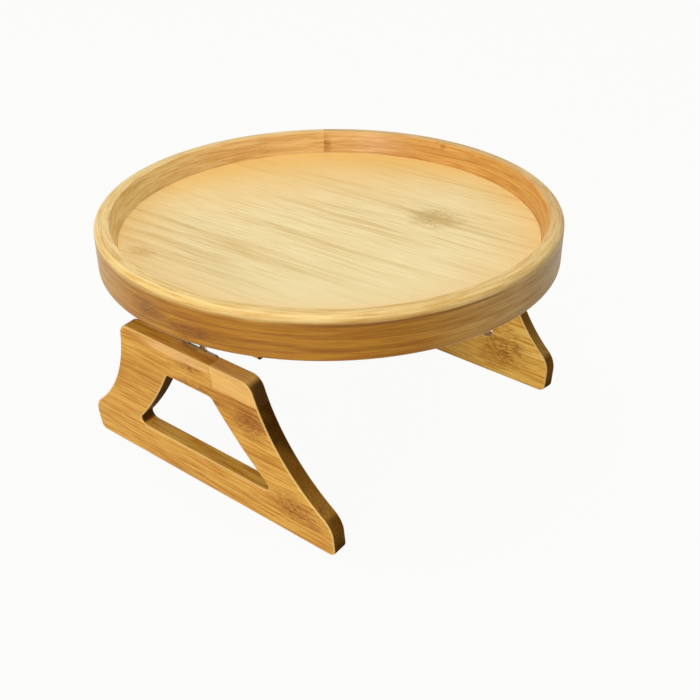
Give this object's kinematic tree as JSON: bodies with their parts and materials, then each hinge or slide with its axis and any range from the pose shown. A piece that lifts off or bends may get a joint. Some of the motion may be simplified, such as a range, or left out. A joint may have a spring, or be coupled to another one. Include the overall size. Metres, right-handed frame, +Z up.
{
  "type": "sofa arm tray",
  "caption": "Round bamboo tray with a raised rim on two spring-hinged clip legs that hold it on a sofa arm and fold flat under it.",
  "frame": {"origin": "on the standing surface, under the middle of the round tray", "axes": "+Z up; both hinge axes run along Y; the left leg is at -X and the right leg at +X"},
  "size_m": [0.25, 0.25, 0.13],
  "materials": {
    "rim_bamboo": "satin varnished bent bamboo",
    "floor_bamboo": "satin varnished bamboo strips",
    "rail_bamboo": "satin varnished bamboo",
    "leg_bamboo": "satin varnished bamboo",
    "hinge_steel": "zinc plated sheet",
    "spring_steel": "plated spring wire",
    "screw_steel": "zinc plated"
  },
  "bodies": {
    "tray": {"rim_hoop": "rim_bamboo", "floor_panel": "floor_bamboo", "rail_left": "rail_bamboo", "rail_screws_left": "screw_steel", "hinge_fixed_leaf_left": "hinge_steel", "fixed_leaf_screws_left": "screw_steel", "hinge_pin_left": "hinge_steel", "hinge_spring_left": "spring_steel", "rail_right": "rail_bamboo", "rail_screws_right": "screw_steel", "hinge_fixed_leaf_right": "hinge_steel", "fixed_leaf_screws_right": "screw_steel", "hinge_pin_right": "hinge_steel", "hinge_spring_right": "spring_steel"},
    "left_leg": {"leg_left": "leg_bamboo", "hinge_moving_leaf_left": "hinge_steel", "moving_leaf_screws_left": "screw_steel"},
    "right_leg": {"leg_right": "leg_bamboo", "hinge_moving_leaf_right": "hinge_steel", "moving_leaf_screws_right": "screw_steel"}
  },
  "joints": [
    {"name": "left_leg_fold", "type": "hinge", "parent": "tray", "child": "left_leg", "pos_m": [-0.1017, 0, 0.0953], "axis": [0, 1, 0], "range_deg": [-83, 60], "stiffness_Nm_per_rad": 0.6},
    {"name": "right_leg_fold", "type": "hinge", "parent": "tray", "child": "right_leg", "pos_m": [0.1017, 0, 0.0953], "axis": [0, -1, 0], "range_deg": [-83, 60], "stiffness_Nm_per_rad": 0.6}
  ]
}
